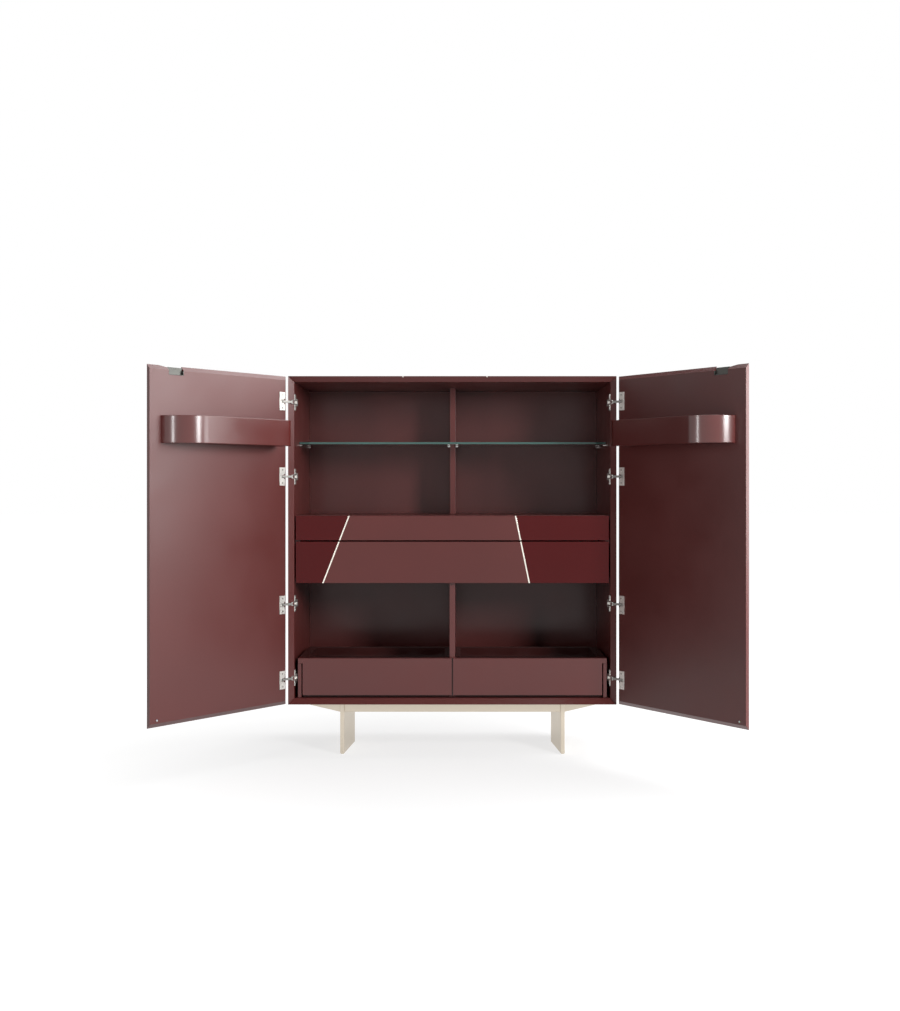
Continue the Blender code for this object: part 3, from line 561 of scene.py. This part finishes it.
# The hinge links are painted much darker than the nickel plates and cups, as painted shade where the links
# sit between plate and cup.
PAINTED_SHADE_LINK_STEEL = metal("hinge_link_steel_painted_shade", (0.24, 0.232, 0.22), 0.45, 0.05, (300.0, 300.0, 40.0))
PEG_CHROME = metal("peg_chrome", (0.90, 0.89, 0.87), 0.18, 0.03, (200.0, 200.0, 200.0))
SCREW_NICKEL = metal("screw_nickel", (0.40, 0.39, 0.37), 0.30, 0.05, (200.0, 200.0, 200.0))
PULL_BRUSHED = metal("pull_brushed", (0.090, 0.090, 0.084), 0.42, 0.08, (30.0, 30.0, 1400.0), 0.2)
BUMPER_SILICONE = silicone("bumper_silicone", (0.78, 0.77, 0.75), 0.45)
GLASS_CLEAR = glass("shelf_glass", (0.93, 0.98, 0.96), 0.01, 1.0)
GLASS_EDGE = glass("shelf_glass_edge", (0.085, 0.190, 0.168), 0.12, 0.25)


# Carcass


def finish_carcass():
    for node in ("bottom_panel", "left_side_panel", "right_side_panel"):
        rounded_node(node, WINE_SATIN, PANEL_ROUND)
    top = rounded_node("top_panel", WINE_SATIN, PANEL_ROUND)
    second_finish(top, WINE_DULL, lambda face: face.normal.z > FACING_UP)
    rounded_node("upper_divider", WINE_FRONT, DIVIDER_ROUND)
    rounded_node("lower_divider", WINE_SATIN, DIVIDER_ROUND)
    for node in ("upper_deck", "lower_deck", "left_drawer_rail", "right_drawer_rail"):
        rounded_node(node, WINE_SATIN, DECK_ROUND)
    # The back panel takes the darker interior lacquer: painted shade.
    rounded_node("back_panel", PAINTED_SHADE_INTERIOR_SATIN, BACK_ROUND)
    rounded_node("base_frame", CHAMPAGNE, BASE_ROUND, FINE_STEPS)


# Inlay


def inlay_across(side, height):
    """Where the middle of a slanted line is, at a height over the floor."""
    start, slope = INLAY_LINES[side]
    return MIDDLE + start + slope * (height - UNDERSIDE - INLAY_LEVEL)


def slanted_bar(name, side, low, high, front, back, width):
    """A bar along a slanted line between two heights, leant over by moving its upper end."""
    foot, head = inlay_across(side, low), inlay_across(side, high)
    bar = block(name, (foot - width / 2, front, low), (foot + width / 2, back, high))
    middle = (low + high) / 2
    move_points(bar, lambda vert: vert.co.z > middle, (head - foot, 0.0, 0.0))
    return bar


def gloss_field(side, place):
    """Whether a point lies in the deep red field outside a slanted line."""
    return SIDES[side] * (place.x - inlay_across(side, place.z)) > 0


def finish_strip(strip, body):
    round_edges(strip, STRIP_ROUND)
    smooth_over_flats(strip)
    return finish_piece(strip, INLAY_METAL, body)


def inlay_strip(name, side, low, high, face, body):
    """A metal strip along a slanted line, which stands a touch proud of the face."""
    width = INLAY_WIDTH - 2 * STRIP_GAP
    bed = face + INLAY_DEPTH - STRIP_GAP
    return finish_strip(slanted_bar(name, side, low, high, face - STRIP_PROUD, bed, width), body)


def finish_top_strips():
    """Strips that carry the slanted lines on over the top, with their front ends cut to the panel's bevel."""
    half = INLAY_WIDTH / 2 - STRIP_GAP
    foot = TOP_HIGH.z - TOP_INLAY_DEPTH + STRIP_GAP
    rear = TOP_HIGH.y - TOP_STRIP_END

    def front_foot(vert):
        return vert.co.y < FRONT_PLANE + NEAR and vert.co.z < TOP_HIGH.z - NEAR

    for side in SIDES:
        middle = inlay_across(side, TOP_HIGH.z)
        low, high = (middle - half, FRONT_PLANE, foot), (middle + half, rear, TOP_HIGH.z)
        strip = block(f"top_panel_{side}_strip", low, high)
        move_points(strip, front_foot, (0.0, TOP_INLAY_DEPTH, 0.0))
        finish_strip(strip, "carcass")


# Drawers


def inlaid_front(node):
    """A drawer front with rounded edges, two grooves, deep red outer fields and the strips in the grooves."""
    low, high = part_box(node)
    front = block(node + "_finished", low, high)
    round_edges(front, FRONT_ROUND, FINE_STEPS)
    foot, head = low.z - GROOVE_MARGIN, high.z + GROOVE_MARGIN
    before, bed = low.y - GROOVE_MARGIN, low.y + INLAY_DEPTH
    for side in SIDES:
        cut_out(front, slanted_bar("groove", side, foot, head, before, bed, INLAY_WIDTH))

    def outer_field(face):
        outside = any(gloss_field(side, face.center) for side in SIDES)
        return face.normal.y < DRAWER_FIELD_FACING and outside

    front.data.materials.append(WINE_FRONT)
    second_finish(front, WINE_GLOSS, outer_field)
    smooth_over_flats(front)
    stand_for_node(front, WINE_FRONT, node)
    foot, head = low.z + DRAWER_STRIP_END, high.z - DRAWER_STRIP_END
    for side in SIDES:
        inlay_strip(f"{node}_{side}_strip", side, foot, head, low.y, BODY_OF[node])


def finish_drawers():
    for level in ("upper", "lower"):
        inlaid_front(level + "_drawer_front")
        # The drawer boxes take the darker interior lacquer: painted shade.
        rounded_node(level + "_drawer_box", PAINTED_SHADE_INTERIOR_SATIN, BOX_ROUND)
    for side in SIDES:
        rounded_node(side + "_bottle_drawer_front", WINE_SATIN, FRONT_ROUND, FINE_STEPS)
        # The boxes take the much darker lacquer: painted shade.
        rounded_node(side + "_bottle_drawer_box", PAINTED_SHADE_BOX_SATIN, BOTTLE_BOX_ROUND)
        # The trays take the near-black lacquer: painted shade inside the drawers.
        rounded_node(side + "_bottle_tray", PAINTED_SHADE_TRAY_GLOSS, TRAY_ROUND, FINE_STEPS)


# Doors


def door_turn(side):
    """The matrix that swings a closed door's points open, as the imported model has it."""
    joint = JOINTS[side + "_door_swing"]
    pivot = Vector((joint["pos_m"][0], joint["pos_m"][1], 0.0))
    opening = math.radians(-joint["range_deg"][0]) * SIDES[side]
    return Matrix.Translation(pivot) @ Matrix.Rotation(opening, 4, "Z") @ Matrix.Translation(-pivot)


def closed_box(side, node):
    """Lowest and highest corner of a door's node with the door closed."""
    unturn = door_turn(side).inverted()
    corners = [unturn @ vert.co for vert in NODES[node].data.vertices]
    low = Vector(min(corner[i] for corner in corners) for i in range(3))
    high = Vector(max(corner[i] for corner in corners) for i in range(3))
    return low, high


def pull_box(side):
    """Lowest and highest corner of the pull with the door closed: a short stretch of the solid's trough."""
    low, high = closed_box(side, side + "_finger_pull")
    if side == "left":
        low.x = high.x - PULL_LENGTH
    else:
        high.x = low.x + PULL_LENGTH
    low.z = high.z - PULL_HEIGHT
    return low, high


def narrow_pull_recess(door, side):
    """Brings the far end and the foot of the closed door's recess up to the shorter pull."""
    whole_low, whole_high = closed_box(side, side + "_finger_pull")
    low, high = pull_box(side)
    whole_end, end = (whole_low.x, low.x) if side == "left" else (whole_high.x, high.x)

    def at_end(vert):
        return abs(vert.co.x - whole_end) < PULL_ROOM and vert.co.z > whole_low.z - PULL_ROOM

    def at_foot(vert):
        return abs(vert.co.z - whole_low.z) < PULL_ROOM

    move_points(door, at_end, (end - whole_end, 0.0, 0.0))
    move_points(door, at_foot, (0.0, 0.0, low.z - whole_low.z))


def finish_pull(side):
    """A pressed metal trough, open to the top and the inner side, whose taller back follows the bevel."""
    node = side + "_finger_pull"
    low, high = pull_box(side)
    crest = closed_box(side, side + "_door")[1].z - PULL_DIP - PULL_GAP
    pull = block(node + "_finished", low, (high.x, high.y, crest))
    beyond, above = high.y + PULL_SHEET, crest + PULL_SHEET
    inside = (low.x + PULL_SHEET, low.y + PULL_SHEET, low.z + PULL_SHEET)
    cut_out(pull, block("trough", inside, (high.x - PULL_SHEET, beyond, above)))
    over_ends = (low.x - PULL_SHEET, low.y + PULL_SHEET, high.z)
    cut_out(pull, block("over_ends", over_ends, (high.x + PULL_SHEET, beyond, above)))

    def at_crest(vert):
        return vert.co.z > crest - NEAR and vert.co.y < low.y + NEAR

    move_points(pull, at_crest, (0.0, 0.0, PULL_CREST_RISE))
    round_edges(pull, PULL_ROUND)
    pull.data.transform(door_turn(side))
    smooth_over_flats(pull)
    stand_for_node(pull, PULL_BRUSHED, node)


def door_strip(side, low, high):
    """The closed door's strip: the left ends at the hinge edge, the right under the dip over the pull."""
    strip_low, strip_high = low.z + DOOR_STRIP_END, high.z - DOOR_STRIP_END
    if side == "right":
        strip_high -= PULL_DIP
    start, slope = INLAY_LINES[side]
    hinge_edge = low.x if side == "left" else high.x
    leaves_at = UNDERSIDE + INLAY_LEVEL + (hinge_edge - MIDDLE - start) / slope
    strip_low = max(strip_low, leaves_at + INLAY_WIDTH / abs(slope))
    return inlay_strip(f"{side}_door_strip", side, strip_low, strip_high, low.y, BODY_OF[side + "_door"])


def finish_door(side):
    """A door with its outer field in deep red, and the strip between its two fields."""
    node = side + "_door"
    turn = door_turn(side)
    low, high = closed_box(side, node)
    door = copy_of_node(node)
    door.data.transform(turn.inverted())
    narrow_pull_recess(door, side)
    round_edges(door, DOOR_ROUND)

    def outer_field(face):
        outer = face.normal.y < DOOR_FIELD_FACING and face.center.y < low.y + DOOR_FIELD_DEPTH
        return outer and gloss_field(side, face.center)

    door.data.materials.append(WINE_SATIN)
    second_finish(door, WINE_GLOSS, outer_field)
    door.data.transform(turn)
    smooth_over_flats(door)
    stand_for_node(door, WINE_SATIN, node)
    door_strip(side, low, high).data.transform(turn)


def finish_bin(side):
    """A bin with a rounded corner at the hinge end and a wide round at the free end, hollowed from the top.

    The wide round is modelled whole on a deeper block, which is then cut off at the door.
    """
    node = side + "_door_bin"
    low, high = closed_box(side, node)
    low.z += BIN_TRIM
    near, far = (low.x, high.x) if side == "left" else (high.x, low.x)
    hollow = BIN_FLOOR - (high.z - low.z)

    def upright(edge, end):
        return all(abs(vert.co.x - end) < NEAR and vert.co.y > high.y - NEAR for vert in edge.verts)

    def inner_back(vert):
        return abs(vert.co.y - low.y - BIN_WALL) < NEAR

    def rim_or_foot(edge):
        return sharp_outer_edge(edge) and abs(edge.verts[0].co.z - edge.verts[1].co.z) < LEVEL

    piece = block(node + "_finished", (low.x, high.y - BIN_ARC - BIN_SPARE, low.z), high)
    for end, radius, steps in ((near, BIN_CORNER, BIN_CORNER_STEPS), (far, BIN_ARC, BIN_ARC_STEPS)):
        select_in_edit_mode(piece, "edge", lambda edge: upright(edge, end))
        bevel_selected(radius, steps)
        leave_edit_mode()
    select_in_edit_mode(piece, "face", lambda face: True)
    bpy.ops.mesh.bisect(plane_co=low, plane_no=(0.0, 1.0, 0.0), clear_inner=True, use_fill=True)
    leave_edit_mode()
    select_in_edit_mode(piece, "face", lambda face: face.normal.z > FACING_UP)
    bpy.ops.mesh.inset(thickness=BIN_WALL, use_even_offset=True)
    bpy.ops.mesh.extrude_region_move(TRANSFORM_OT_translate={"value": (0.0, 0.0, hollow)})
    leave_edit_mode()
    move_points(piece, inner_back, (0.0, BIN_BACK - BIN_WALL, 0.0))
    round_edges(piece, BIN_ROUND, FINE_STEPS, rim_or_foot)
    piece.data.transform(door_turn(side))
    smooth_over_flats(piece)
    stand_for_node(piece, WINE_BIN, node)


def finish_bumper(side):
    """A domed stop near the lower free corner of the door's inner face."""
    low, high = closed_box(side, side + "_door")
    free_edge = high.x if side == "left" else low.x
    x = free_edge + SIDES[side] * BUMPER_FROM_FREE_EDGE
    z = low.z + BUMPER_FROM_FOOT
    foot, head = (x, high.y, z), (x, high.y + BUMPER_HEIGHT, z)

    def at_head(edge):
        return all(vert.co.y > high.y + BUMPER_HEIGHT / 2 for vert in edge.verts)

    bumper = rod(side + "_door_bumper", foot, head, BUMPER_RADIUS, BUMPER_SEGMENTS)
    round_edges(bumper, BUMPER_ROUND, BUMPER_STEPS, at_head)
    bumper.data.transform(door_turn(side))
    smooth_over_flats(bumper)
    finish_piece(bumper, BUMPER_SILICONE, side + "_door_leaf")


def finish_doors():
    for side in SIDES:
        finish_door(side)
        finish_bin(side)
        finish_bumper(side)
        finish_pull(side)


# Hinges


def cross_screw():
    """A low screw head with a cross recess, standing on the origin along +Z."""

    def at_head(edge):
        return all(vert.co.z > SCREW_HEIGHT / 2 for vert in edge.verts)

    screw = rod("cross_screw", (0.0, 0.0, 0.0), (0.0, 0.0, SCREW_HEIGHT), SCREW_RADIUS, SCREW_SEGMENTS)
    round_edges(screw, SCREW_ROUND, FINE_STEPS, at_head)
    length, width, depth = SCREW_CROSS
    for across, along in ((length, width), (width, length)):
        low = (-across / 2, -along / 2, SCREW_HEIGHT - depth)
        high = (across / 2, along / 2, SCREW_HEIGHT + depth)
        cut_out(screw, block("slot", low, high))
    return screw


def set_screws(name, screw, moves, body):
    """One piece with a copy of the screw at each place."""
    screws = copies(screw, moves)
    deselect()
    for placed in screws:
        placed.select_set(True)
    bpy.context.view_layer.objects.active = screws[0]
    bpy.ops.object.join()
    screws[0].name = name
    smooth_over_flats(screws[0], SCREW_SMOOTH_DEGREES)
    finish_piece(screws[0], SCREW_NICKEL, body)


def finish_hinges():
    screw = cross_screw()
    # The links take the dark metal: painted shade.
    metals = {"plate": NICKEL, "link": PAINTED_SHADE_LINK_STEEL, "cup": NICKEL}
    backwards = Matrix.Rotation(math.radians(-90), 4, "X")
    for side, sign in SIDES.items():
        on_flanges, on_plates = [], []
        inwards = Matrix.Rotation(-sign * math.radians(90), 4, "Y")
        flange_x = MIDDLE + sign * (HALF_WIDTH - DOOR_REVEAL - FLANGE_SCREW_ALONG)
        wing_x = MIDDLE + sign * (HALF_WIDTH - WING_FACE)
        for number in HINGE_NUMBERS:
            for part, finish in metals.items():
                rounded_node(f"{side}_hinge_{part}_{number}", finish, HINGE_ROUND)
            low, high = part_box(f"{side}_hinge_plate_{number}")
            level = (low.z + high.z) / 2
            for way in (-1, 1):
                spot = Vector((flange_x, FRONT_PLANE + FLANGE_FACE, level + way * FLANGE_SCREW_LIFT))
                on_flanges.append(door_turn(side) @ Matrix.Translation(spot) @ backwards)
                spot = Vector((wing_x, FRONT_PLANE + WING_SCREW_DEPTH, level + way * WING_SCREW_LIFT))
                on_plates.append(Matrix.Translation(spot) @ inwards)
        set_screws(side + "_flange_screws", screw, on_flanges, side + "_door_leaf")
        set_screws(side + "_plate_screws", screw, on_plates, "carcass")
    bpy.data.objects.remove(screw, do_unlink=True)


# Shelf


def finish_shelf():
    """The glass with its cut edges in a deeper tint, and its pegs."""
    node = "glass_shelf"
    pane = copy_of_node(node)
    round_edges(pane, GLASS_ROUND)
    pane.data.materials.append(GLASS_CLEAR)
    second_finish(pane, GLASS_EDGE, lambda face: abs(face.normal.z) < FACING_UP)
    stand_for_node(pane, GLASS_CLEAR, node)
    for place in SHELF_PINS:
        rounded_node("shelf_pin_" + place, PEG_CHROME, PEG_ROUND, FINE_STEPS)


# Studio: the lamps have a place, a point they face, a size and a power


WHITE = (1.0, 1.0, 1.0, 1.0)
FLOOR_SIZE = 60.0
FLOOR_PLACE = (0.0, 10.0, -0.0004)
FLOOR_PAINT = (0.30, 0.30, 0.30, 1.0)
FLOOR_GLOW = (0.74, 1.0)
FLOOR_GLOW_REACH = (0.9, 2.6)
FLOOR_GLOW_MIDDLE = (0.6, 0.0, 0.0)
WORLD_LIGHT = 0.02
WORLD_SEEN = 1.0
CEILING_TOWARDS = (0.0, 0.6, 0.8)
CEILING_EDGE = (0.15, 0.5)
CEILING_SEEN = 0.25
LAMPS = {
    "key_softbox": ((2.97, -3.42, 2.0), (0.0, 0.2, 1.0), (1.0, 1.2), 145.0),
    "side_softbox": ((3.4, -0.7, 1.75), (-0.7, -0.2, 0.9), (2.4, 2.3), 95.0),
    "left_strip": ((-1.95, -2.25, 1.35), (0.0, 0.0, 1.0), (0.2, 1.1), 11.5),
    "top_softbox": ((1.75, 1.0, 4.0), (0.2, 0.0, 0.8), (3.4, 3.4), 160.0),
}


def where_seen(tree, seen, lit, *rays):
    """Mixes a shader that some kinds of rays see with the one that lights the object."""
    path = new_node(tree, "ShaderNodeLightPath")
    shown = path.outputs[rays[0]]
    for ray in rays[1:]:
        shown = arithmetic(tree, "MAXIMUM", shown, path.outputs[ray])
    mix = new_node(tree, "ShaderNodeMixShader")
    tree.links.new(shown, mix.inputs["Fac"])
    tree.links.new(lit, mix.inputs[1])
    tree.links.new(seen, mix.inputs[2])
    return mix.outputs["Shader"]


def floor_white():
    """Grey paint with a white glow where it is seen, weaker around the object, so that its shadow stays."""
    material = bpy.data.materials.new("studio_floor_white")
    material.use_nodes = True
    tree = material.node_tree
    tree.nodes.remove(tree.nodes["Principled BSDF"])
    paint = new_node(tree, "ShaderNodeBsdfDiffuse")
    paint.inputs["Color"].default_value = FLOOR_PAINT
    lit = paint.outputs["BSDF"]
    distance = new_node(tree, "ShaderNodeVectorMath", operation="DISTANCE")
    tree.links.new(new_node(tree, "ShaderNodeTexCoord").outputs["Object"], distance.inputs[0])
    distance.inputs[1].default_value = FLOOR_GLOW_MIDDLE
    strength = map_range(tree, distance.outputs["Value"], FLOOR_GLOW_REACH, FLOOR_GLOW, "SMOOTHSTEP")
    glow = new_node(tree, "ShaderNodeEmission")
    tree.links.new(strength, glow.inputs["Strength"])
    shown = new_node(tree, "ShaderNodeAddShader")
    tree.links.new(lit, shown.inputs[0])
    tree.links.new(glow.outputs["Emission"], shown.inputs[1])
    seen = shown.outputs["Shader"]
    result = where_seen(tree, seen, lit, "Is Camera Ray", "Is Glossy Ray", "Is Transmission Ray")
    tree.links.new(result, tree.nodes["Material Output"].inputs["Surface"])
    return material


def studio_floor():
    deselect()
    bpy.ops.mesh.primitive_plane_add(size=FLOOR_SIZE, location=FLOOR_PLACE)
    floor = bpy.context.object
    floor.name = "studio_floor"
    settle(floor)
    floor.data.materials.append(floor_white())


def studio_world():
    """A white surround with a darker ceiling in reflections, and little light of its own."""
    world = bpy.data.worlds.new("studio")
    world.use_nodes = True
    tree = world.node_tree
    lit = tree.nodes["Background"]
    seen = new_node(tree, "ShaderNodeBackground")
    mirrored = new_node(tree, "ShaderNodeBackground")
    for shader in (lit, seen, mirrored):
        shader.inputs["Color"].default_value = WHITE
    lit.inputs["Strength"].default_value = WORLD_LIGHT
    seen.inputs["Strength"].default_value = WORLD_SEEN
    upwards = new_node(tree, "ShaderNodeVectorMath", operation="DOT_PRODUCT")
    tree.links.new(new_node(tree, "ShaderNodeTexCoord").outputs["Generated"], upwards.inputs[0])
    upwards.inputs[1].default_value = CEILING_TOWARDS
    brightness = (WORLD_SEEN, CEILING_SEEN)
    strength = map_range(tree, upwards.outputs["Value"], CEILING_EDGE, brightness, "SMOOTHSTEP")
    tree.links.new(strength, mirrored.inputs["Strength"])
    result = where_seen(tree, mirrored.outputs["Background"], lit.outputs["Background"], "Is Glossy Ray")
    result = where_seen(tree, seen.outputs["Background"], result, "Is Camera Ray", "Is Transmission Ray")
    tree.links.new(result, tree.nodes["World Output"].inputs["Surface"])
    bpy.context.scene.world = world


def studio_lamps():
    for name, (place, target, size, power) in LAMPS.items():
        turn = (Vector(target) - Vector(place)).to_track_quat("-Z", "Y").to_euler()
        deselect()
        bpy.ops.object.light_add(type="AREA", location=place, rotation=turn)
        lamp = bpy.context.object
        lamp.name = name
        lamp.data.shape = "RECTANGLE"
        lamp.data.size, lamp.data.size_y = size
        lamp.data.energy = power


def photo_camera():
    deselect()
    bpy.ops.object.camera_add(location=CAMERA_PLACE, rotation=(math.radians(90), 0.0, 0.0))
    camera = bpy.context.object
    camera.name = "photo_camera"
    camera.data.sensor_width = SENSOR
    camera.data.lens = FOCAL_PIXELS * SENSOR / PHOTO_LONG_SIDE
    camera.data.shift_x = -PRINCIPAL_RIGHT / PHOTO_LONG_SIDE
    camera.data.shift_y = -PRINCIPAL_UP / PHOTO_LONG_SIDE
    bpy.context.scene.camera = camera


finish_carcass()
finish_top_strips()
finish_doors()
finish_hinges()
finish_shelf()
finish_drawers()
studio_floor()
studio_world()
studio_lamps()
photo_camera()
bpy.context.scene.view_settings.view_transform = "Standard"
